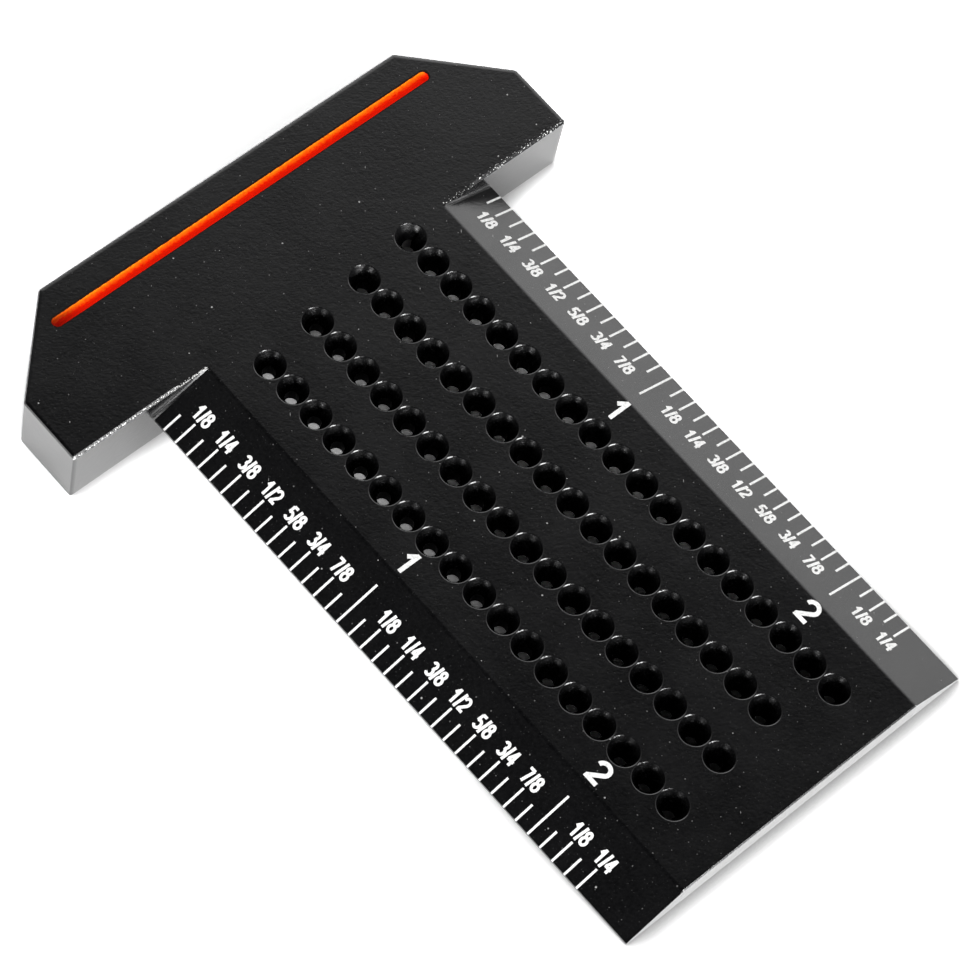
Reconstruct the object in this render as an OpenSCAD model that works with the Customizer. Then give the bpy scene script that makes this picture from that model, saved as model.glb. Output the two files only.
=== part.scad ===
// Pocket T-square for marking out, machined from one block of aluminium.
// The origin is the inside corner that sits on the edge of a board: the fence face is y = 0,
// the blade's underside is z = 0, and x = 0 is the middle. The blade runs along +Y, so a
// point's y is its distance from the board's edge. All sizes are in millimetres.

/* [Head] */
// Length of the head along the fence
head_w = 58.5; // [50:0.1:80]
// Depth of the head, from the fence face to the back
head_d = 15.25; // [13:0.05:25]
// Height of the head, from its bottom to the blade's top
head_h = 7.2; // [6:0.1:12]
// Size of the 45 degree cut across each back corner
corner_cut = 8.2; // [3:0.1:10]

/* [Blade] */
// Length of the blade, from the fence face to its end
blade_l = 63.6; // [40:0.1:120]
// Width of the blade across its two thin edges
blade_w = 40.3; // [38:0.1:50]
// Thickness of the blade between the bevels
blade_t = 2.8; // [2:0.1:4]
// Width of the flat top between the bevels
flat_w = 28.1; // [23:0.1:34]
// Thickness that the bevels leave at the two edges
edge_t = 0.3; // [0.2:0.05:1]

/* [Guide holes] */
// Distance between holes in a row: an eighth of an inch
hole_pitch = 3.175; // [3.175:0.005:4]
// How much nearer the fence each row starts than the row on its +X side: a thirty-second
row_step = 0.79375; // [0.3:0.00625:0.8]
// Distance between rows
row_gap = 6.25; // [4:0.05:6.8]
// Number of rows
row_count = 4; // [1:1:4]
// Diameter of a hole's rim at the top
rim_d = 3.12; // [2:0.01:3.15]
// Diameter of the bore below the countersink
bore_d = 1.3; // [0.5:0.05:1.5]
// Full angle of the countersink
sink_angle = 60; // [60:1:90]
// Width of the flatter ring that softens the rim, inside rim_d
rim_break = 0.08; // [0.02:0.01:0.15]
// Plain length left between the last holes and the end of the blade
hole_margin = 5.5; // [3:0.1:10]

/* [Groove] */
// Width of the round-bottomed groove in the head
groove_w = 1.3; // [0.8:0.05:2]
// Plain metal left past each end of the groove, measured along the head
groove_gap = 2.25; // [1:0.05:10]
// Distance from the back of the head to the middle of the groove
groove_inset = 3.55; // [2:0.05:6]
// Thickness of the enamel that lines the groove
enamel_t = 0.08; // [0.04:0.01:0.2]

/* [Scale marks] */
// Distance between marks: a sixteenth of an inch
mark_pitch = 1.5875; // [1:0.0005:2]
// Width of a mark
mark_w = 0.22; // [0.1:0.01:0.4]
// How deep a mark is let into the bevel, measured straight down
mark_depth = 0.04; // [0.02:0.01:0.1]
// Length of the inch marks, up the bevel from the edge
inch_l = 4.8; // [3:0.1:5]
// Length of the eighth marks
eighth_l = 2.4; // [1.5:0.1:3]
// Length of the sixteenth marks
sixteenth_l = 2; // [1:0.1:3]
// Plain length left between the last mark and the end of the blade
mark_margin = 6.35; // [3:0.05:10]

/* [Edges] */
// Size of the break along the top of the fence, on each side of the blade
fence_break = 0.25; // [0.1:0.01:0.4]
// How far outside the flat that break ends, clear of the bevel
break_stop = 3.75; // [3:0.05:6]
// Radius of the cone-shaped cutter at the fence's face, which rounds the break's end
cutter_r = 0.6; // [0.3:0.05:0.8]
// Size of the fillet that is left where each bevel meets the fence
corner_fillet = 0.12; // [0.05:0.01:0.2]
// Size of the break along the head's other edges and the flat's end
edge_break = 0.12; // [0.05:0.01:0.3]

/* [Hidden] */

BLACK = "#1c1c1d";
ORANGE = "#f4571c";
WHITE = "#f5f5f3";

// Marks in one inch, and in one eighth
INCH = 16;
EIGHTH = 2;
// Lengths of the three kinds of mark: inch, eighth and sixteenth
MARK_L = [inch_l, eighth_l, sixteenth_l];
// How steeply the ring at a hole's rim falls, in degrees
RIM_SLOPE = 30;
// Cutters run this far past the faces that they cut
over = 1;
// How far the blade's section runs into the head
root = 2;
$fn = 48;

head_bottom = blade_t - head_h;
half_w = blade_w / 2;
bevel_w = (blade_w - flat_w) / 2;
bevel_drop = blade_t - edge_t;
bevel_angle = atan2(bevel_drop, bevel_w);
mark_count = floor((blade_l - mark_margin) / mark_pitch);
groove_l = head_w - 2 * (corner_cut - groove_inset + groove_gap);

// Outline of the head, anticlockwise, with every upright edge broken
head_outline = broken([
    [-head_w / 2, corner_cut - head_d], [corner_cut - head_w / 2, -head_d],
    [head_w / 2 - corner_cut, -head_d], [head_w / 2, corner_cut - head_d],
    [head_w / 2, 0], [-head_w / 2, 0],
], edge_break);

// An outline with each corner cut back by c along both of its sides
function broken(p, c) = [
    for (i = [0 : len(p) - 1])
        let (before = p[(i + len(p) - 1) % len(p)], after = p[(i + 1) % len(p)])
            each [towards(p[i], before, c), towards(p[i], after, c)]
];
function towards(a, b, c) = a + (b - a) * c / norm(b - a);

// A bar that takes a 45 degree break of size s off an edge of length l. The edge starts at the
// origin and runs along +X, between a face in the XY plane and one in the XZ plane
module break_bar(l, s) {
    translate([l / 2, 0, 0])
        rotate([45, 0, 0])
            cube([l + over, s * sqrt(2), s * sqrt(2)], center = true);
}

module head() {
    count = len(head_outline);
    difference() {
        translate([0, 0, head_bottom])
            linear_extrude(head_h)
                polygon(head_outline);
        for (i = [0 : count - 1]) {
            p = head_outline[i];
            side = head_outline[(i + 1) % count] - p;
            is_fence = p.y == 0 && side.y == 0;
            translate(p)
                rotate([0, 0, atan2(side.y, side.x)]) {
                    if (!is_fence)
                        translate([0, 0, blade_t])
                            break_bar(norm(side), edge_break);
                    translate([0, 0, head_bottom])
                        break_bar(norm(side), edge_break);
                }
        }
        for (side = [-1, 1])
            mirror([side < 0 ? 1 : 0, 0, 0])
                fence_cut();
    }
}

// What a 45 degree cutter takes off the fence's top edge on the +X side. It runs in from the
// head's end and stops before the blade, where its cone leaves a round end
module fence_cut() {
    d = cutter_r + fence_break;
    start = flat_w / 2 + break_stop;
    translate([start, cutter_r, blade_t]) {
        rotate([0, 0, 90])
            rotate_extrude(angle = 180)
                polygon([[0, -d], [d + over, over], [0, over]]);
        rotate([90, 0, 90])
            linear_extrude(head_w / 2 - start + over)
                polygon([[-d - over, over], [0, -d], [d + over, over]]);
    }
}

// The blade seen from its end: flat in the middle and bevelled to thin edges
module blade_section() {
    polygon([
        [-half_w, 0], [half_w, 0], [half_w, edge_t],
        [flat_w / 2, blade_t], [-flat_w / 2, blade_t], [-half_w, edge_t],
    ]);
}

// A section drawn across the blade, run along Y from one place to another
module along_blade(from, to) {
    translate([0, to, 0])
        rotate([90, 0, 0])
            linear_extrude(to - from)
                children();
}

module blade() {
    difference() {
        along_blade(-root, blade_l)
            blade_section();
        translate([-flat_w / 2, blade_l, blade_t])
            break_bar(flat_w, edge_break);
    }
    for (side = [-1, 1])
        mirror([side < 0 ? 1 : 0, 0, 0])
            fillet_bar();
}

// The fillet between the +X bevel and the fence, cut off level with the blade's top and edge
module fillet_bar() {
    c = corner_fillet;
    intersection() {
        translate([flat_w / 2, 0, blade_t])
            rotate([0, bevel_angle, 0])
                translate([-over, 0, 0])
                    rotate([90, 0, 90])
                        linear_extrude(norm([bevel_w, bevel_drop]) + 2 * over)
                            polygon([[-c, -c], [2 * c, -c], [-c, 2 * c]]);
        translate([0, -over, 0])
            cube([half_w, 2 * over, blade_t]);
    }
}

// A countersunk hole for the tip of a pencil, with its rim on the blade's top
module guide_hole() {
    rim = rim_d / 2;
    sink = rim - rim_break;
    step = rim_break * tan(RIM_SLOPE);
    depth = step + (sink - bore_d / 2) / tan(sink_angle / 2);
    translate([0, 0, blade_t])
        rotate_extrude()
            polygon([
                [0, over], [rim + over / tan(RIM_SLOPE), over], [sink, -step],
                [bore_d / 2, -depth],
                [bore_d / 2, -blade_t - over / 2], [0, -blade_t - over / 2],
            ]);
}

// Rows side by side, each a step nearer the fence, so that between them they mark every step
module guide_holes() {
    last = blade_l - hole_margin;
    for (row = [0 : row_count - 1]) {
        first = hole_pitch - row * row_step;
        for (y = [first : hole_pitch : last])
            translate([((row_count - 1) / 2 - row) * row_gap, y, 0])
                guide_hole();
    }
}

// A bar with round ends, as a ball-nosed cutter of radius r leaves it
module groove_bar(r) {
    reach = (groove_l - groove_w) / 2;
    translate([0, groove_inset - head_d, blade_t]) {
        rotate([0, 90, 0])
            cylinder(r = r, h = 2 * reach, center = true);
        for (side = [-1, 1])
            translate([side * reach, 0, 0])
                sphere(r = r);
    }
}

// Which kind of mark stands at place i from the fence: its place in MARK_L
function mark_kind(i) = i % INCH == 0 ? 0 : i % EIGHTH == 0 ? 1 : 2;

// The skin of the blade's top that a mark of length l takes up, from the +X edge inwards
module mark_section(l) {
    reach = l * cos(bevel_angle);
    intersection() {
        difference() {
            blade_section();
            translate([0, -mark_depth])
                blade_section();
        }
        translate([half_w - reach, 0])
            square([reach, blade_t]);
    }
}

// The marks of one kind on one side: side is 1 for +X and -1 for -X
module marks(side, kind) {
    color(WHITE)
        mirror([side < 0 ? 1 : 0, 0, 0])
            for (i = [1 : mark_count])
                if (mark_kind(i) == kind)
                    along_blade(i * mark_pitch - mark_w / 2, i * mark_pitch + mark_w / 2)
                        mark_section(MARK_L[kind]);
}

module square_body() {
    color(BLACK)
        difference() {
            union() {
                head();
                blade();
            }
            guide_holes();
            groove_bar(groove_w / 2);
            for (side = [-1, 1], kind = [0 : len(MARK_L) - 1])
                marks(side, kind);
        }
}

// The enamel is a thin coat on the groove's round wall, open at the top
module groove_enamel() {
    color(ORANGE)
        difference() {
            groove_bar(groove_w / 2);
            groove_bar(groove_w / 2 - enamel_t);
            translate([-groove_l / 2 - over, -head_d, blade_t])
                cube([groove_l + 2 * over, head_d, groove_w]);
        }
}

module left_inch_marks() marks(1, 0);
module left_eighth_marks() marks(1, 1);
module left_sixteenth_marks() marks(1, 2);
module right_inch_marks() marks(-1, 0);
module right_eighth_marks() marks(-1, 1);
module right_sixteenth_marks() marks(-1, 2);

square_body();
groove_enamel();
left_inch_marks();
left_eighth_marks();
left_sixteenth_marks();
right_inch_marks();
right_eighth_marks();
right_sixteenth_marks();
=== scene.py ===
"""The looks of a pocket T-square: black anodised aluminium, enamel and white figures."""

import math

import bmesh
import bpy
from mathutils import Matrix, Vector

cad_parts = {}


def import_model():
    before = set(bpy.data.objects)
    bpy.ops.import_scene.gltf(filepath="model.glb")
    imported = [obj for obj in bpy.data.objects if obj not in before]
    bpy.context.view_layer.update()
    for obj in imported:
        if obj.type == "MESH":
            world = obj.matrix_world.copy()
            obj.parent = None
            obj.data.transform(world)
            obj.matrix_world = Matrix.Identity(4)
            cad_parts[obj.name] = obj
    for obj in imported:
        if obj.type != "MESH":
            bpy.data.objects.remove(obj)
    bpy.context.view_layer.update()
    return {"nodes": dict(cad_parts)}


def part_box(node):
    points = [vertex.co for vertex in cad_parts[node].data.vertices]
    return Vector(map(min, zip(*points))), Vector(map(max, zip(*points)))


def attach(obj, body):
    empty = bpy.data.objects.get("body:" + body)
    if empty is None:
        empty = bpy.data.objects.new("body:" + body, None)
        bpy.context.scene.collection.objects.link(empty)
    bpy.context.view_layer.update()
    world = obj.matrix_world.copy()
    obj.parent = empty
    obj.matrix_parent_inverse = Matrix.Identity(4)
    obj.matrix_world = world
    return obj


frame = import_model()

MM = 0.001
INCH = 25.4 * MM


# ---------------------------------------------------------------- places, read from the frame

BODY_LOW, BODY_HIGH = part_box("square_body")
GROOVE_LOW, GROOVE_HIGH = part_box("groove_enamel")
TOP = BODY_HIGH.z
BLADE_END = BODY_HIGH.y
HEAD_BOTTOM = BODY_LOW.z

# How far in from the head's ends its back corners are cut off
CORNER_CUT = 8.2 * MM

# The square lies as it is put down: on the fence's lower edge and on the blade's tip
FLOOR_TILT = math.atan2(-HEAD_BOTTOM, BLADE_END)


def bevel_plane(side):
    """The matrix of a bevel's face, for text that reads along the blade with its tops towards -X.

    Its x runs along the blade from the fence's plane and its y across the bevel from the thin
    edge: up the bevel on the +X side and, so that figures stand the same way, down on the other.
    The marks of two lengths end at two heights of the bevel, which give its slope.
    """
    name = "left" if side > 0 else "right"
    long_low, long_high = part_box(name + "_inch_marks")
    short_low, short_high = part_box(name + "_eighth_marks")
    edge_x = long_high.x if side > 0 else long_low.x
    inner = [(low.x if side > 0 else high.x, high.z)
             for low, high in ((long_low, long_high), (short_low, short_high))]
    across = Vector((inner[0][0] - inner[1][0], 0, inner[0][1] - inner[1][1])).normalized()
    edge_z = inner[0][1] + (edge_x - inner[0][0]) * across.z / across.x
    along = Vector((0, 1, 0))
    up = across * side
    out = along.cross(up)
    turn = Matrix((along, up, out)).transposed().to_4x4()
    return Matrix.Translation((edge_x, 0, edge_z)) @ turn


def flat_plane():
    """The matrix of the blade's flat top, for text that reads the same way."""
    turn = Matrix(((0, 1, 0), (-1, 0, 0), (0, 0, 1))).transposed().to_4x4()
    return Matrix.Translation((0, 0, TOP)) @ turn


# How steeply a bevel falls, and where it leaves the flat top
BEVEL = bevel_plane(1)
BEVEL_FALL = -BEVEL[2][1] / BEVEL[0][1]
CREASE_X = BEVEL[0][3] - (TOP - BEVEL[2][3]) / BEVEL_FALL


# ---------------------------------------------------------------- materials

def linear(code):
    """A hex sRGB colour as linear RGBA."""
    parts = [int(code[i:i + 2], 16) / 255 for i in (1, 3, 5)]
    return [c / 12.92 if c <= 0.04045 else ((c + 0.055) / 1.055) ** 2.4 for c in parts] + [1]


def add(tree, kind, sockets=None, **settings):
    """Adds a node with its settings, and its sockets' values or links."""
    made = tree.nodes.new("ShaderNode" + kind)
    for name, value in settings.items():
        setattr(made, name, value)
    for name, value in (sockets or {}).items():
        if isinstance(value, bpy.types.NodeSocket):
            tree.links.new(value, made.inputs[name])
        else:
            made.inputs[name].default_value = value
    return made


def new_material(name):
    """A material with an empty node tree, and that tree."""
    made = bpy.data.materials.new(name)
    made.use_nodes = True
    made.node_tree.nodes.clear()
    return made, made.node_tree


def per(size_mm):
    """A pattern's scale, in repeats for each metre, from the size of one repeat."""
    return 1000 / size_mm


def coats(tree, base, *layers):
    """A base colour under coats, each an amount from 0 to 1 and a colour. Colours are hex codes."""
    colour = linear(base)
    for amount, code in layers:
        colour = add(tree, "Mix", {"Factor": amount, "A": colour, "B": linear(code)},
                     data_type="RGBA").outputs[2]
    return colour


def kept_where(tree, amount, *tests):
    """An amount where every test holds, and 0 elsewhere. A test is a value, how it has to
    compare, and a limit."""
    for value, comparison, limit in tests:
        holds = add(tree, "Math", {0: value, 1: limit}, operation=comparison).outputs[0]
        amount = add(tree, "Math", {0: amount, 1: holds}, operation="MULTIPLY").outputs[0]
    return amount


def stretched(tree, place, angle, times):
    """Places for a pattern that is drawn out along a direction in the plane of the top."""
    return add(tree, "Mapping", {"Vector": place, "Rotation": (0, 0, angle),
                                 "Scale": (times, 1, 1)}, vector_type="TEXTURE").outputs[0]


# ---------------------------------------------------------------- aluminium: its worn shape

# How far to each side of the crease the flat and a bevel blend, and how far from the fence's
# plane that blend, which starts there, is whole
CREASE_REACH = 0.18 * MM
CREASE_START = 0.3 * MM
# A bevel is a little hollow: it falls more steeply than its plane, by this at the crease, and by
# half of this where the hollow ends, so far out from the crease
HOLLOW_FALL = 0.04
HOLLOW_REACH = 6.0 * MM
# How far in from the head's edges its top rounds over, and how steep it is at the edge
EDGE_REACH = 0.45 * MM
EDGE_FALL = 0.5


def crease_height(tree, axes, side):
    """The blend between the flat and the bevels: a height, in metres, that rounds both sides."""
    off = add(tree, "Math", {0: side, 1: CREASE_X}, operation="SUBTRACT").outputs[0]
    near = add(tree, "Math", {0: off}, operation="ABSOLUTE").outputs[0]
    room = add(tree, "MapRange", {"Value": near, "From Min": 0.0, "From Max": CREASE_REACH,
                                  "To Min": CREASE_REACH, "To Max": 0.0}).outputs["Result"]
    corner = add(tree, "Math", {0: room, 1: room}, operation="MULTIPLY").outputs[0]
    out = add(tree, "MapRange", {"Value": off, "From Min": 0.0, "From Max": HOLLOW_REACH,
                                 "To Max": HOLLOW_REACH}).outputs["Result"]
    easing = add(tree, "Math", {0: out, 1: 0.25 / HOLLOW_REACH, 2: -1.0},
                 operation="MULTIPLY_ADD").outputs[0]
    fall = add(tree, "Math", {0: out, 1: easing}, operation="MULTIPLY").outputs[0]
    fall = add(tree, "Math", {0: fall, 1: HOLLOW_FALL}, operation="MULTIPLY").outputs[0]
    both = add(tree, "Math", {0: corner, 1: -BEVEL_FALL / (4 * CREASE_REACH), 2: fall},
               operation="MULTIPLY_ADD").outputs[0]
    on_blade = add(tree, "MapRange", {"Value": axes.outputs["Y"], "From Min": 0.0,
                                      "From Max": CREASE_START}).outputs["Result"]
    return add(tree, "Math", {0: both, 1: on_blade}, operation="MULTIPLY").outputs[0]


def edge_height(tree, axes, side):
    """How far the top falls, in metres, where it rounds over at the head's back and ends."""
    behind = add(tree, "Math", {0: axes.outputs["Y"], 1: BODY_LOW.y},
                 operation="SUBTRACT").outputs[0]
    beside = add(tree, "Math", {0: BODY_HIGH.x, 1: side}, operation="SUBTRACT").outputs[0]
    both = add(tree, "Math", {0: behind, 1: beside}, operation="ADD").outputs[0]
    corner = add(tree, "Math", {0: both, 1: math.sqrt(0.5), 2: -CORNER_CUT * math.sqrt(0.5)},
                 operation="MULTIPLY_ADD").outputs[0]
    near = add(tree, "Math", {0: behind, 1: beside}, operation="MINIMUM").outputs[0]
    near = add(tree, "Math", {0: near, 1: corner}, operation="MINIMUM").outputs[0]
    room = add(tree, "MapRange", {"Value": near, "From Min": 0.0, "From Max": EDGE_REACH,
                                  "To Min": EDGE_REACH, "To Max": 0.0}).outputs["Result"]
    down = add(tree, "Math", {0: room, 1: room}, operation="MULTIPLY").outputs[0]
    return add(tree, "Math", {0: down, 1: -EDGE_FALL / (2 * EDGE_REACH)},
               operation="MULTIPLY").outputs[0]


# The way the grain of the blasted skin lies, and how many times as long as wide it is drawn
GRAIN_ANGLE = math.radians(-35)  # from +X
GRAIN_LENGTH = 1.6
# How high the orange peel and the grain stand
PEEL_HEIGHT = 0.01 * MM
GRAIN_HEIGHT = 0.009 * MM


def blasted_skin(tree, place, shape):
    """The grain of the blasted skin, from 0 to 1, and the normal of a shape that has it."""
    shaped = add(tree, "Bump", {"Height": shape, "Strength": 1.0, "Distance": 1.0})
    peel = add(tree, "TexNoise", {"Vector": place, "Scale": per(0.5), "Detail": 2.0})
    peeled = add(tree, "Bump", {"Height": peel.outputs["Fac"], "Strength": 1.0,
                                "Distance": PEEL_HEIGHT, "Normal": shaped.outputs["Normal"]})
    drawn = stretched(tree, place, GRAIN_ANGLE, GRAIN_LENGTH)
    grain = add(tree, "TexNoise", {"Vector": drawn, "Scale": per(0.22), "Detail": 2.0,
                                   "Roughness": 0.7}).outputs["Fac"]
    grained = add(tree, "Bump", {"Height": grain, "Strength": 1.0, "Distance": GRAIN_HEIGHT,
                                 "Normal": peeled.outputs["Normal"]})
    return grain, grained.outputs["Normal"]


# ---------------------------------------------------------------- aluminium: dirt, and edge wear with a painted sparkle

# Each layer of dirt: the cell of its grid and the radius of its widest mark, both in mm, the
# share of the cells that have a mark, and how thick it lies
HAZE = (0.6, 0.07, 0.5, 0.06)
DUST = (1.7, 0.09, 0.45, 0.3)
GRIT = (4.5, 0.12, 0.3, 1.0)
HAIRS = (1.6, 0.07, 0.08, 0.5)
# The smallest mark of a layer is this many times as wide as its widest
SMALLEST_MARK = 0.4
# The way the hairs lie, and how many times as long as wide they are
HAIR_ANGLE = 0.9  # radians from +X
HAIR_LENGTH = 4.0


def specks(tree, place, cell_mm, radius_mm, share):
    """A scatter of small marks seen from above: one in a share of the cells of a grid."""
    cell = add(tree, "TexVoronoi", {"Vector": place, "Scale": per(cell_mm)},
               voronoi_dimensions="2D")
    chance = add(tree, "SeparateColor", {"Color": cell.outputs["Color"]})
    widest = radius_mm / cell_mm
    size = add(tree, "MapRange", {"Value": chance.outputs[1], "To Min": SMALLEST_MARK * widest,
                                  "To Max": widest}).outputs["Result"]
    inside = add(tree, "MapRange", {"Value": cell.outputs["Distance"], "From Min": size,
                                    "From Max": 0.0}).outputs["Result"]
    return kept_where(tree, inside, (chance.outputs[0], "LESS_THAN", share))


def dirt_on(tree, place):
    """Haze, dust, grit and short hairs, seen from above."""
    hair_place = stretched(tree, place, HAIR_ANGLE, HAIR_LENGTH)
    dirt = 0.0
    for where, (cell_mm, radius_mm, share, density) in (
            (place, HAZE), (place, DUST), (place, GRIT), (hair_place, HAIRS)):
        layer = specks(tree, where, cell_mm, radius_mm, share)
        thick = add(tree, "Math", {0: layer, 1: density}, operation="MULTIPLY").outputs[0]
        dirt = add(tree, "Math", {0: dirt, 1: thick}, operation="MAXIMUM").outputs[0]
    return dirt


# The wear and painted sparkle of the fence's top edge, on the blade's -X side and on its +X side:
# how far it reaches, and how high a dot of noise has to be to show, at the edge and where it ends
EDGE_DOTS_REACH = (0.55 * MM, 0.2 * MM)
EDGE_DOTS_AT_EDGE = (0.63, 0.38)
EDGE_DOTS_AT_END = (0.76, 0.66)
# How much higher than that a dot is at its brightest
EDGE_DOTS_BLEND = 0.05
# How far in front of the fence's plane a place still counts as the fence
FENCE_SLACK = 0.01 * MM


def fence_edge_wear(tree, place, axes, side):
    """Bright dots along the fence's top edge, outside the blade's flat: worn metal, and partly a
    painted highlight of the edge's sparkle, close together along the +X side and scattered further
    back along the other."""
    along = add(tree, "MapRange", {"Value": axes.outputs["X"], "From Min": -CREASE_X,
                                   "From Max": CREASE_X}).outputs["Result"]
    reach, least, most = [
        add(tree, "MapRange", {"Value": along, "To Min": there, "To Max": here}).outputs["Result"]
        for there, here in (EDGE_DOTS_REACH, EDGE_DOTS_AT_EDGE, EDGE_DOTS_AT_END)]
    back = add(tree, "Math", {0: axes.outputs["Y"], 1: -1.0}, operation="MULTIPLY").outputs[0]
    down = add(tree, "Math", {0: TOP, 1: axes.outputs["Z"]}, operation="SUBTRACT").outputs[0]
    depth = add(tree, "Math", {0: back, 1: down}, operation="MAXIMUM").outputs[0]
    bar = add(tree, "MapRange", {"Value": depth, "From Min": 0.0, "From Max": reach,
                                 "To Min": least, "To Max": most}).outputs["Result"]
    dots = add(tree, "TexNoise", {"Vector": place, "Scale": per(0.14), "Detail": 0.0})
    over = add(tree, "Math", {0: dots.outputs["Fac"], 1: bar}, operation="SUBTRACT").outputs[0]
    shown = add(tree, "MapRange", {"Value": over, "From Min": 0.0,
                                   "From Max": EDGE_DOTS_BLEND}).outputs["Result"]
    return kept_where(tree, shown, (side, "GREATER_THAN", CREASE_X),
                      (back, "GREATER_THAN", -FENCE_SLACK), (depth, "LESS_THAN", reach))


# ---------------------------------------------------------------- aluminium: its holes

# How far up a face looks, as the Z of its normal. The small break round each hole falls by 30
# degrees, give or take the slack, and the walls inside look up by less than WALL_FACING. The
# bore's wall looks up by less than BORE_FACING, too.
RIM_FACING = math.cos(math.radians(30))
RIM_SLACK = 0.02
WALL_FACING = 0.7
BORE_FACING = 0.3
# A wall this near the fence's plane or the blade's end doesn't count as a hole's
FENCE_ZONE = 0.5 * MM
END_ZONE = 1.0 * MM
# A break is rubbed where its normal's Y and X are over the first of these, and wholly bare
# where they are over the second. That is the side that mirrors the high tip lamp, so its glint
# there is partly a painted highlight.
RIM_SHEEN_Y = (0.36, 0.44)
RIM_SHEEN_X = (0.05, 0.1)
# How much painted shade dims a countersink's wall near the top, and between which depths that rises
# to one
HOLE_SHADE_AT_TOP = 0.6
HOLE_SHADE_DEPTH = (0.15 * MM, 0.9 * MM)
# It glitters where its noise is over the first of these, most of all over the second
GLITTER_DOTS = (0.58, 0.62)


def hole_walls(tree, axes, side, facing):
    """Where walls of holes are: within the flat's width, off its ends, and facing sideways."""
    return kept_where(tree, 1.0, (facing.outputs["Z"], "LESS_THAN", WALL_FACING),
                      (side, "LESS_THAN", CREASE_X),
                      (axes.outputs["Y"], "GREATER_THAN", FENCE_ZONE),
                      (axes.outputs["Y"], "LESS_THAN", BLADE_END - END_ZONE))


def rubbed_bare(tree, facing, rim):
    """Where the break round a hole is rubbed to bare metal, on the side that mirrors the high tip
    lamp, so that it is partly a painted highlight.
    """
    for axis, (start, full) in (("Y", RIM_SHEEN_Y), ("X", RIM_SHEEN_X)):
        turned = add(tree, "MapRange", {"Value": facing.outputs[axis], "From Min": start,
                                        "From Max": full}).outputs["Result"]
        rim = add(tree, "Math", {0: rim, 1: turned}, operation="MULTIPLY").outputs[0]
    return rim


def dull_inside(tree, place, axes, holes, bore):
    """Painted shade on the walls of the holes, as how little they mirror: the bores all over, the
    rest between bright dots, more so further down.
    """
    dots = add(tree, "TexNoise", {"Vector": place, "Scale": per(0.15)}).outputs["Fac"]
    between = add(tree, "MapRange", {"Value": dots, "From Min": GLITTER_DOTS[0],
                                     "From Max": GLITTER_DOTS[1], "To Min": 1.0,
                                     "To Max": 0.0}).outputs["Result"]
    sunk = add(tree, "MapRange", {"Value": axes.outputs["Z"], "From Min": TOP - HOLE_SHADE_DEPTH[0],
                                  "From Max": TOP - HOLE_SHADE_DEPTH[1],
                                  "To Min": HOLE_SHADE_AT_TOP}).outputs["Result"]
    shade_amount = add(tree, "Math", {0: between, 1: sunk}, operation="MULTIPLY").outputs[0]
    shade_amount = add(tree, "Math", {0: shade_amount, 1: bore}, operation="MAXIMUM").outputs[0]
    return add(tree, "Math", {0: shade_amount, 1: holes}, operation="MULTIPLY").outputs[0]


# ---------------------------------------------------------------- the three finishes

# The Z of a normal where a face starts to count as a top, and where it does
UPWARD = (0.88, 0.92)
# Most of a noise pattern lies between these
NOISE_SPREAD = (0.35, 0.65)
# Roughness of the top, which differs from patch to patch, and of the rest
TOP_ROUGHNESS = (0.18, 0.24)
SIDE_ROUGHNESS = 0.24
RIM_ROUGHNESS = 0.12
BORE_ROUGHNESS = 0.6
# Painted shade in the bores: how much a bore's wall mirrors light that grazes it, as a share of
# what the others do
BORE_SHINE = 0.6
# How strongly the sealed oxide bends light
OXIDE_IOR = 1.6


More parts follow.
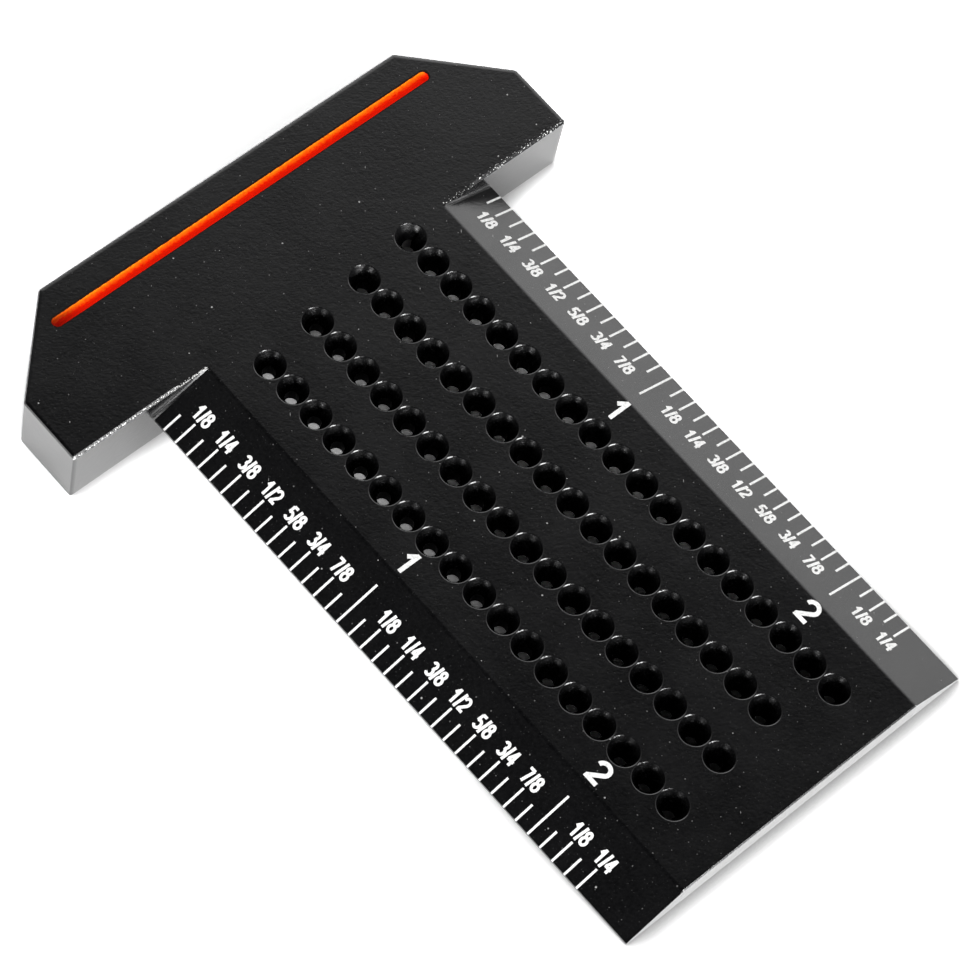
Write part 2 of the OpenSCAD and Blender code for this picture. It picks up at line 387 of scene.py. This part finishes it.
def anodised_aluminium():
    """Aluminium, bead blasted, dyed black and sealed.

    The blasting leaves a fine orange peel that glitters a little where the light comes in low.
    The dye makes it a deep, slightly cold black. Dust, short hairs and nicks lie on the top;
    the nicks along the fence's edge are partly a painted highlight of its sparkle. The break round
    each hole is bare metal on the side that mirrors the high tip lamp: partly wear, partly a
    painted highlight there. Painted shade darkens the holes: a wall inside is a metal with a black
    colour, so that it mirrors almost nothing, more so further down.
    """
    made, tree = new_material("black_anodised_aluminium")
    coords = add(tree, "TexCoord")
    place = coords.outputs["Object"]
    axes = add(tree, "SeparateXYZ", {"Vector": place})
    side = add(tree, "Math", {0: axes.outputs["X"]}, operation="ABSOLUTE").outputs[0]
    facing = add(tree, "SeparateXYZ", {"Vector": coords.outputs["Normal"]})
    upward = add(tree, "MapRange", {"Value": facing.outputs["Z"], "From Min": UPWARD[0],
                                    "From Max": UPWARD[1]}).outputs["Result"]
    rim = add(tree, "Math", {0: facing.outputs["Z"], 1: RIM_FACING, 2: RIM_SLACK},
              operation="COMPARE").outputs[0]
    holes = hole_walls(tree, axes, side, facing)
    bore = kept_where(tree, holes, (facing.outputs["Z"], "LESS_THAN", BORE_FACING))
    # Bare metal on the rim's side that mirrors the high tip lamp: partly wear, partly a painted
    # highlight
    rubbed_and_sheen = rubbed_bare(tree, facing, rim)
    # Painted shade in the holes: their walls mirror less, more so further down and in the bores
    metal = add(tree, "Math", {0: dull_inside(tree, place, axes, holes, bore), 1: rubbed_and_sheen},
                operation="MAXIMUM").outputs[0]

    shape = add(tree, "Math", {0: crease_height(tree, axes, side),
                               1: edge_height(tree, axes, side)}, operation="ADD").outputs[0]
    grain, normal = blasted_skin(tree, place, shape)

    patches = add(tree, "TexNoise", {"Vector": place, "Scale": per(5), "Detail": 3.0})
    patchy = add(tree, "MapRange", {
        "Value": patches.outputs["Fac"], "From Min": NOISE_SPREAD[0], "From Max": NOISE_SPREAD[1],
        "To Min": TOP_ROUGHNESS[0], "To Max": TOP_ROUGHNESS[1]}).outputs["Result"]
    roughness = SIDE_ROUGHNESS
    for amount, there in ((rim, RIM_ROUGHNESS), (upward, patchy), (bore, BORE_ROUGHNESS)):
        roughness = add(tree, "Mix", {"Factor": amount, "A": roughness, "B": there},
                        data_type="FLOAT").outputs["Result"]
    # Painted shade: a bore's wall mirrors grazing light less
    shine = add(tree, "Mix", {"Factor": bore, "A": 1.0, "B": BORE_SHINE},
                data_type="FLOAT").outputs["Result"]

    raised = add(tree, "MapRange", {"Value": grain, "From Min": NOISE_SPREAD[0],
                                    "From Max": NOISE_SPREAD[1]}).outputs["Result"]
    dirt = add(tree, "Math", {0: dirt_on(tree, place), 1: upward},
               operation="MULTIPLY").outputs[0]
    # Dots along the fence's edge: worn metal, partly a painted highlight of the edge's sparkle
    worn_and_sparkle = fence_edge_wear(tree, place, axes, side)
    shader = add(tree, "BsdfPrincipled", {
        "Base Color": coats(tree, "#040405", (raised, "#0e0e0f"), (dirt, "#d0d0ce"),
                            (worn_and_sparkle, "#e2e2e0"), (rubbed_and_sheen, "#7c7c7c")),
        "Roughness": roughness, "Metallic": metal, "IOR": OXIDE_IOR, "Specular Tint": shine,
        "Normal": normal,
    })
    add(tree, "OutputMaterial", {"Surface": shader.outputs["BSDF"]})
    return made


# Shares of the way across the groove from its back wall, with painted light and shade: the lit
# orange turns red between the first two and a deeper red between the next. Streaks shift a place
# by up to the last.
SHADE_RED = (0.08, 0.4)
SHADE_DEEP_RED = (0.5, 0.95)
STREAKS = 0.2
# How far from the groove's +X end painted shade starts to darken it, and is full, and how much
# darker it makes it
END_SHADE = (3.5 * MM, 0.5 * MM)
END_SHADE_DEPTH = 0.75
# How far under the top it starts to turn dark, and is wholly dark. Streaks shift a place by up to
# STREAKS times the last.
RAGGED = (0.24 * MM, 0.14 * MM)
RAGGED_SHIFT = 0.4 * MM
# How bright the painted glow is that lifts the enamel out of its shade; it is no lamp
PAINTED_GLOW = 0.24


def orange_enamel():
    """Enamel brushed into the groove.

    Its colour holds painted light and shade: orange on the back wall, which faces the light, and
    red on the floor and the front wall, which lie in shade, deepest as painted shade at the end
    towards +X. It turns dark in a ragged band under the edges.
    A painted glow, from no lamp, lifts it where it lies in shade.
    """
    made, tree = new_material("orange_enamel")
    place = add(tree, "TexCoord").outputs["Object"]
    axes = add(tree, "SeparateXYZ", {"Vector": place})
    streaks = add(tree, "TexNoise", {"Vector": place, "Scale": per(0.3), "Detail": 2.0})
    uneven = add(tree, "MapRange", {"Value": streaks.outputs["Fac"], "To Min": -STREAKS,
                                    "To Max": STREAKS}).outputs["Result"]
    across = add(tree, "MapRange", {"Value": axes.outputs["Y"], "From Min": GROOVE_LOW.y,
                                    "From Max": GROOVE_HIGH.y}).outputs["Result"]
    across = add(tree, "Math", {0: across, 1: uneven}, operation="ADD").outputs[0]
    shade_red, shade_deep_red = [add(tree, "MapRange", {"Value": across, "From Min": start,
                                        "From Max": full}).outputs["Result"]
                 for start, full in (SHADE_RED, SHADE_DEEP_RED)]
    end_shade = add(tree, "MapRange", {
        "Value": axes.outputs["X"], "From Min": GROOVE_HIGH.x - END_SHADE[0],
        "From Max": GROOVE_HIGH.x - END_SHADE[1], "To Max": END_SHADE_DEPTH}).outputs["Result"]
    # A ragged dark band under the top edges
    ragged_z = add(tree, "Math", {0: uneven, 1: RAGGED_SHIFT, 2: axes.outputs["Z"]},
                  operation="MULTIPLY_ADD").outputs[0]
    dark_band = add(tree, "MapRange", {"Value": ragged_z, "From Min": TOP - RAGGED[0],
                                  "From Max": TOP - RAGGED[1]}).outputs["Result"]
    glow_cut = add(tree, "Math", {0: end_shade, 1: dark_band}, operation="MAXIMUM").outputs[0]
    # Painted light and shade in the base colour: orange where the back wall is lit, red in the
    # shade of the floor and the front wall, and darker still at the +X end
    shader = add(tree, "BsdfPrincipled", {
        "Base Color": coats(tree, "#ff8c10", (shade_red, "#ff2a02"), (shade_deep_red, "#f01e04"),
                            (end_shade, "#8a1008"), (dark_band, "#1c1410")),
        "Roughness": 0.5, "Specular IOR Level": 0.04,
        # Painted glow, cut where the painted end shade and the dark band lie
        "Emission Color": coats(tree, "#ff1400", (glow_cut, "#000000")),
        "Emission Strength": PAINTED_GLOW,
    })
    add(tree, "OutputMaterial", {"Surface": shader.outputs["BSDF"]})
    return made


# The ink's film is thin where its noise is under the first of these, and whole over the second
INK_SPREAD = (0.3, 0.5)


def white_marking():
    """White marking ink: matt, with a faint mottle where the film is thinner."""
    made, tree = new_material("white_marking")
    place = add(tree, "TexCoord").outputs["Object"]
    film = add(tree, "TexNoise", {"Vector": place, "Scale": per(0.3), "Detail": 2.0})
    whole = add(tree, "MapRange", {"Value": film.outputs["Fac"], "From Min": INK_SPREAD[0],
                                   "From Max": INK_SPREAD[1]}).outputs["Result"]
    shader = add(tree, "BsdfPrincipled", {
        "Base Color": coats(tree, "#e2e2e0", (whole, "#fcfcfb")), "Roughness": 0.6})
    add(tree, "OutputMaterial", {"Surface": shader.outputs["BSDF"]})
    return made


BLACK = anodised_aluminium()
ORANGE = orange_enamel()
WHITE = white_marking()

for name, node in frame["nodes"].items():
    node.data.materials.clear()
    finish = {"square_body": BLACK, "groove_enamel": ORANGE}.get(name, WHITE)
    node.data.materials.append(finish)


# ---------------------------------------------------------------- figures

# Each figure is drawn by a pen on a grid ten units high. A stroke starts at a point. Two numbers
# take the pen straight to a point, and three turn it about a point, by degrees.
END = 0.9
STROKES = {
    "1": [[(3.5, -END), (3.5, 10 + END)], [(3.3, 9.9), (0.6, 6.5)]],
    "2": [[(0.2, 7.5), (3, 7.2, -217), (0.5, 0.4)], [(-0.4, 0), (5.9, 0)]],
    "3": [[(0.9, 8.5), (3, 7.8, -252)], [(3, 5.6), (3, 2.8, -240)]],
    "4": [[(3.9, 9.9), (0.1, 2.9)], [(-0.6, 2.7), (6.4, 2.7)], [(4.2, -END), (4.2, 10 + END)]],
    "5": [[(1.0, 10), (5.6, 10)], [(1.3, 10), (0.7, 5.0)], [(0.6, 4.9), (2.9, 3.0, -290)]],
    "7": [[(-0.2, 10), (5.8, 10)], [(5.2, 9.9), (1.9, -END)]],
    "8": [[(3, 10), (3, 7.8, 360)], [(3, 5.6), (3, 2.8, 360)]],
    "/": [[(0.2, -1.2), (2.4, 11.2)]],
}
# The middle of a figure's grid, and how far the pen moves on to the next figure
MIDDLE = {"/": 1.3, "2": 3.3}
DIGIT_MIDDLE = 3
ADVANCE = {"/": 3.6}
DIGIT_ADVANCE = 8.6
# Degrees of a turn for each straight piece of it
TURN_STEP = 15
# How thick the ink is, and by what share of that each further stroke of a figure is thicker
FILM = 0.02 * MM
FILM_STEP = 0.1


def draw_stroke(bm, start, moves):
    """Runs the pen along one stroke, as a thin upright wall one unit high, and returns its
    points."""
    pen = bmesh.ops.create_vert(bm, co=Vector((*start, 0)))["vert"][0]
    line = [pen]
    for move in moves:
        if len(move) == 2:
            pen = bmesh.ops.extrude_vert_indiv(bm, verts=[pen])["verts"][0]
            pen.co = Vector((*move, 0))
            line.append(pen)
        else:
            *centre, angle = move
            known = set(bm.verts)
            turned = bmesh.ops.spin(
                bm, geom=[pen], cent=Vector((*centre, 0)), axis=(0, 0, 1),
                angle=math.radians(angle), steps=round(abs(angle) / TURN_STEP), use_merge=False)
            pen = [g for g in turned["geom_last"] if isinstance(g, bmesh.types.BMVert)][0]
            line += [v for v in bm.verts if v not in known]
    edges = list({edge for point in line for edge in point.link_edges})
    wall = bmesh.ops.extrude_edge_only(bm, edges=edges)["geom"]
    raised = [g for g in wall if isinstance(g, bmesh.types.BMVert)]
    bmesh.ops.translate(bm, verts=raised, vec=(0, 0, 1))
    return line + raised


def write(bm, text, height, squeeze, stroke, plane, middle, base):
    """Draws text centred at a place along the blade, with its foot at a place across it. Its
    figures are as wide as their grid by the squeeze.

    Each stroke's film is a little thicker than the one before, so that no two of them that
    cross have their faces in the same plane.
    """
    unit = (height - stroke) / 10
    steps = [ADVANCE.get(char, DIGIT_ADVANCE) for char in text]
    x = -sum(steps) / 2
    for char, step in zip(text, steps):
        shift = x + step / 2 - MIDDLE.get(char, DIGIT_MIDDLE)
        for index, (start, *moves) in enumerate(STROKES[char]):
            film = FILM * (1 + FILM_STEP * index)
            for point in draw_stroke(bm, start, moves):
                point.co = plane @ Vector((middle + (point.co.x + shift) * squeeze * unit,
                                           base + stroke / 2 + point.co.y * unit,
                                           (point.co.z - 0.5) * film))
        x += step


def figures(name, rows, height, squeeze, stroke):
    """Makes a piece of marking from rows of (text, plane, middle, base)."""
    bm = bmesh.new()
    for text, plane, middle, base in rows:
        write(bm, text, height, squeeze, stroke, plane, middle, base)
    bmesh.ops.remove_doubles(bm, verts=bm.verts[:], dist=1e-7)
    bmesh.ops.recalc_face_normals(bm, faces=bm.faces[:])
    mesh = bpy.data.meshes.new(name)
    bm.to_mesh(mesh)
    bm.free()
    piece = bpy.data.objects.new(name, mesh)
    bpy.context.scene.collection.objects.link(piece)
    thick = piece.modifiers.new("stroke", "SOLIDIFY")
    thick.thickness = stroke
    thick.offset = 0
    mesh.materials.append(WHITE)
    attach(piece, "root")


# Fractions of an inch stand on the bevels, and whole inches on the flat. For both: how high the
# figures are, how many times as wide as their grid, and how wide their strokes. The base is how
# far across its plane a row has its foot, on the +X side and on the other.
FRACTIONS = ["1/8", "1/4", "3/8", "1/2", "5/8", "3/4", "7/8"]
FRACTION_H = 1.55 * MM
FRACTION_SQUEEZE = 0.777
FRACTION_STROKE = 0.27 * MM
FRACTION_BASE = {1: 2.66 * MM, -1: -4.36 * MM}
NUMBER_H = 2.53 * MM
NUMBER_SQUEEZE = 1.1
NUMBER_STROKE = 0.43 * MM
NUMBER_BASE = {1: -13.65 * MM, -1: 11.5 * MM}
# How far past its mark a whole inch's figure is centred
NUMBER_SHIFT = 0.25 * MM
# How many eighths of an inch from the fence the last fraction stands
EIGHTHS = 18

for side, side_name in ((1, "left"), (-1, "right")):
    eighths = [(FRACTIONS[i % 8 - 1], i * INCH / 8) for i in range(1, EIGHTHS + 1) if i % 8]
    figures(side_name + "_fraction_figures",
            [(text, bevel_plane(side), y, FRACTION_BASE[side]) for text, y in eighths],
            FRACTION_H, FRACTION_SQUEEZE, FRACTION_STROKE)
    figures(side_name + "_inch_figures",
            [(str(n), flat_plane(), n * INCH + NUMBER_SHIFT, NUMBER_BASE[side]) for n in (1, 2)],
            NUMBER_H, NUMBER_SQUEEZE, NUMBER_STROKE)


# ---------------------------------------------------------------- floor, light and camera

FLOOR_RADIUS = 240 * MM
# How much of other light the paper gives back, and how bright the camera sees it and the square
# mirrors it, both at the fence's plane and at the blade's end
PAPER_WHITE = 0.92
PAPER_SEEN = (2.8, 1.5)
PAPER_MIRRORED = (2.75, 2.4)
# Its reflection dims to a share between two distances from a point of the blade's middle line
MIRROR_MIDDLE = (0, 24 * MM, 0)
MIRROR_DIMS = (55 * MM, 75 * MM)
MIRROR_FAR = 0.4
# The soft shadow: which way the paper looks for what stands on it, how far it looks, and the
# power that darkens it
SHADOW_LOOK = {"X": 0.6, "Y": -0.6, "Z": 0.53}
SHADOW_REACH = 1.5 * MM
SHADOW_POWER = 1.2


def floor():
    """A sheet of white paper, which the camera and reflections see brighter.

    It shows a soft shadow at the foot of what stands on it, on the sides towards -X and +Y.
    Its reflection in the square is dimmer from further off.
    """
    bm = bmesh.new()
    bmesh.ops.create_circle(bm, cap_ends=True, radius=FLOOR_RADIUS, segments=96)
    bmesh.ops.transform(bm, verts=bm.verts[:], matrix=Matrix.Rotation(FLOOR_TILT, 4, "X"))
    bmesh.ops.translate(bm, verts=bm.verts[:], vec=(0, 0, HEAD_BOTTOM))
    mesh = bpy.data.meshes.new("floor")
    bm.to_mesh(mesh)
    bm.free()
    piece = bpy.data.objects.new("floor", mesh)
    bpy.context.scene.collection.objects.link(piece)
    made, tree = new_material("white_paper")
    path = add(tree, "LightPath")
    place = add(tree, "TexCoord").outputs["Object"]
    axes = add(tree, "SeparateXYZ", {"Vector": place})
    bright, mirrored = [
        add(tree, "MapRange", {"Value": axes.outputs["Y"], "From Min": 0.0, "From Max": BLADE_END,
                               "To Min": at_fence, "To Max": at_tip}).outputs["Result"]
        for at_fence, at_tip in (PAPER_SEEN, PAPER_MIRRORED)]
    away = add(tree, "VectorMath", {0: place, 1: MIRROR_MIDDLE}, operation="DISTANCE")
    near = add(tree, "MapRange", {"Value": away.outputs["Value"], "From Min": MIRROR_DIMS[0],
                                  "From Max": MIRROR_DIMS[1], "To Min": 1.0,
                                  "To Max": MIRROR_FAR}).outputs["Result"]
    mirrored = add(tree, "Math", {0: mirrored, 1: near}, operation="MULTIPLY").outputs[0]
    look = add(tree, "CombineXYZ", SHADOW_LOOK).outputs["Vector"]
    open_sky = add(tree, "AmbientOcclusion", {"Distance": SHADOW_REACH, "Normal": look},
                   samples=8).outputs["AO"]
    shadow = add(tree, "Math", {0: open_sky, 1: SHADOW_POWER}, operation="POWER").outputs[0]
    tone = PAPER_WHITE
    seen = add(tree, "Math", {0: shadow, 1: bright}, operation="MULTIPLY").outputs[0]
    for ray, there in (("Is Camera Ray", seen), ("Is Glossy Ray", mirrored)):
        tone = add(tree, "Mix", {"Factor": path.outputs[ray], "A": tone, "B": there},
                   data_type="FLOAT").outputs["Result"]
    white = add(tree, "BsdfDiffuse", {"Color": tone})
    add(tree, "OutputMaterial", {"Surface": white.outputs[0]})
    mesh.materials.append(made)


# The direction of the bright wall from the square, its strength, and how near its middle (as a
# cosine) it starts to show and is at its full strength
WALL = (-0.75, -0.6, 0.3)
WALL_STRENGTH = 1.8
WALL_EDGE = (0.68, 1.0)
# The power by which the room darkens upwards. At the floor it has this share of its light, and
# from the last of these up, the sine of a height, all of it.
ROOM_POWER = 1.5
SKIRTING = 0.4
SKIRTING_TOP = 0.25


def world():
    """A studio with a bright wall behind the head, dimmer near the floor, and a dark ceiling.
    The camera sees it white."""
    made = bpy.data.worlds.new("studio")
    bpy.context.scene.world = made
    made.use_nodes = True
    tree = made.node_tree
    tree.nodes.clear()
    direction = add(tree, "TexCoord").outputs["Generated"]
    height = add(tree, "SeparateXYZ", {"Vector": direction}).outputs["Z"]
    below = add(tree, "Math", {0: 1.0, 1: height}, operation="SUBTRACT", use_clamp=True)
    room = add(tree, "Math", {0: below.outputs[0], 1: ROOM_POWER}, operation="POWER")
    near = add(tree, "VectorMath", {0: direction, 1: Vector(WALL).normalized()},
               operation="DOT_PRODUCT")
    wall = add(tree, "MapRange", {"Value": near.outputs["Value"], "From Min": WALL_EDGE[0],
                                  "From Max": WALL_EDGE[1], "To Max": WALL_STRENGTH},
               interpolation_type="SMOOTHSTEP")
    both = add(tree, "Math", {0: room.outputs[0], 1: wall.outputs["Result"]}, operation="ADD")
    skirting = add(tree, "MapRange", {"Value": height, "From Min": 0.0, "From Max": SKIRTING_TOP,
                                      "To Min": SKIRTING}).outputs["Result"]
    both = add(tree, "Math", {0: both.outputs[0], 1: skirting}, operation="MULTIPLY")
    seen = add(tree, "LightPath").outputs["Is Camera Ray"]
    strength = add(tree, "Mix", {"Factor": seen, "A": both.outputs[0], "B": 1.0},
                   data_type="FLOAT")
    glow = add(tree, "Background", {"Color": (1, 1, 1, 1), "Strength": strength.outputs["Result"]})
    add(tree, "OutputWorld", {"Surface": glow.outputs[0]})


# The place on the blade that the lamps and the camera look at, and how far off the lamps are
AIM = Vector((1.917, 24.653, 2.8)) * MM
LAMP_RANGE = 0.8
# Each lamp: its name, its direction from there, the way it runs, its length and width in metres
# and its power in watts
LAMPS = [
    ("high_tip_light", (-0.132, 0.643, 0.755), (-0.478, 0.144, -0.11), 0.35, 0.12, 0.8),
    ("soft_front_light", (0.45, 0.75, 0.48), (0.75, -0.45, 0), 0.45, 0.45, 3.1),
    ("low_tip_light", (0.04, 0.97, 0.25), (1, 0, 0), 0.64, 0.15, 7.4),
    ("low_side_light", (0.95, 0.2, 0.19), (0, 1, 0), 0.25, 0.09, 3.7),
]


def lamp(name, direction, along, length, width, power):
    """A strip of soft light that shines on the blade from a direction and runs along another."""
    light = bpy.data.lights.new(name, "AREA")
    light.shape = "RECTANGLE"
    light.size = length
    light.size_y = width
    light.energy = power
    made = bpy.data.objects.new(name, light)
    bpy.context.scene.collection.objects.link(made)
    back = Vector(direction).normalized()
    across = back.cross(Vector(along)).normalized()
    turn = Matrix((across.cross(back), across, back)).transposed().to_4x4()
    made.matrix_world = Matrix.Translation(AIM + back * LAMP_RANGE) @ turn


# The camera's distance, its turn from +X, its rise and its roll in degrees, and its lens and
# sensor in mm
CAMERA_RANGE = 374.67 * MM
CAMERA_TURN = 34.02
CAMERA_RISE = 61.768
CAMERA_ROLL = 16.52
LENS = 155.293
SENSOR_WIDTH = 36


def camera():
    """The camera, which looks down on the blade from the +X side and the tip's end."""
    data = bpy.data.cameras.new("camera")
    data.lens = LENS
    data.sensor_width = SENSOR_WIDTH
    data.clip_start = 0.01
    made = bpy.data.objects.new("camera", data)
    bpy.context.scene.collection.objects.link(made)
    turn, rise = math.radians(CAMERA_TURN), math.radians(CAMERA_RISE)
    away = Vector((math.cos(rise) * math.cos(turn), math.cos(rise) * math.sin(turn),
                   math.sin(rise)))
    level = (-away).to_track_quat("-Z", "Y").to_matrix().to_4x4()
    roll = Matrix.Rotation(math.radians(CAMERA_ROLL), 4, "Z")
    made.matrix_world = Matrix.Translation(AIM + away * CAMERA_RANGE) @ level @ roll
    bpy.context.scene.camera = made


floor()
world()
for each in LAMPS:
    lamp(*each)
camera()
bpy.context.scene.view_settings.view_transform = "Standard"
